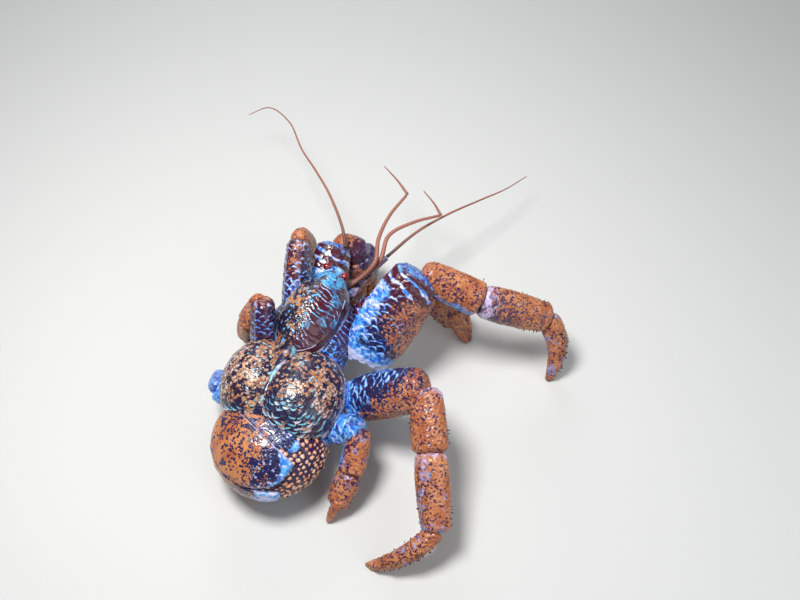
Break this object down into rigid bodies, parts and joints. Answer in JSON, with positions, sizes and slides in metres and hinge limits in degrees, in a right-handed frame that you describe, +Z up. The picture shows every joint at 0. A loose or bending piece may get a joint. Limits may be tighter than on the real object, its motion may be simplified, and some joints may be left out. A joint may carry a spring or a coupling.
{
  "type": "coconut crab",
  "caption": "Life-size coconut crab standing on a level floor, legs spread to its right, belly curled under, feelers raised: a still museum model.",
  "frame": {"origin": "middle of the footprint of the crab's box, feelers included, on the floor under it", "axes": "+Z up, -Y towards the head, -X towards the crab's own right side"},
  "size_m": [0.3002, 0.309, 0.0823],
  "materials": {
    "shield": "glossy maroon-purple shell with pale-blue rugae and tan granules",
    "dome": "dark navy-purple shell mottled orange-tan and cyan",
    "cheek": "navy shell with a bright blue net of ridges",
    "hip_skin": "pale cyan-white joint skin",
    "tergite": "orange shell plates with navy specks and blue edges",
    "belly": "soft dark purple skin with cream-orange warts",
    "thigh": "purple-blue shell with light-blue dashes",
    "limb": "orange shell with purple specks and blue patches",
    "eye": "glossy red eye",
    "stalk": "light-blue eyestalk",
    "feeler": "ringed pinkish red-brown feeler"
  },
  "bodies": {
    "root": {"thorax": "hip_skin", "shield": "shield", "gill_dome_right": "dome", "gill_dome_left": "dome", "heart_strip": "dome", "cheek_right": "cheek", "cheek_left": "cheek", "abdomen": "belly", "tergite_2": "tergite", "tergite_3": "tergite", "tergite_4": "tergite", "tergite_5": "tergite", "tail": "tergite", "claw_right_arm": "thigh", "claw_right_wrist": "limb", "claw_right_palm": "limb", "claw_right_finger": "limb", "claw_left_arm": "thigh", "claw_left_wrist": "limb", "claw_left_palm": "limb", "claw_left_finger": "limb", "leg2_right_merus": "thigh", "leg2_right_carpus": "limb", "leg2_right_propodus": "limb", "leg2_right_dactyl": "limb", "leg2_left_merus": "thigh", "leg2_left_carpus": "limb", "leg2_left_propodus": "limb", "leg2_left_dactyl": "limb", "leg3_right_merus": "thigh", "leg3_right_carpus": "limb", "leg3_right_propodus": "limb", "leg3_right_dactyl": "limb", "leg3_left_merus": "thigh", "leg3_left_carpus": "limb", "leg3_left_propodus": "limb", "leg3_left_dactyl": "limb", "leg4_right_merus": "thigh", "leg4_right_carpus": "limb", "leg4_right_palm": "limb", "leg4_right_finger": "limb", "leg4_left_merus": "thigh", "leg4_left_carpus": "limb", "leg4_left_palm": "limb", "leg4_left_finger": "limb", "eyestalk_right": "stalk", "eye_right": "eye", "antennule_right_stalk": "feeler", "antennule_right_flagellum": "feeler", "antenna_right_base": "limb", "antenna_right_whip": "feeler", "maxilliped_right": "limb", "eyestalk_left": "stalk", "eye_left": "eye", "antennule_left_stalk": "feeler", "antennule_left_flagellum": "feeler", "antenna_left_base": "limb", "antenna_left_whip": "feeler", "maxilliped_left": "limb"}
  },
  "joints": []
}
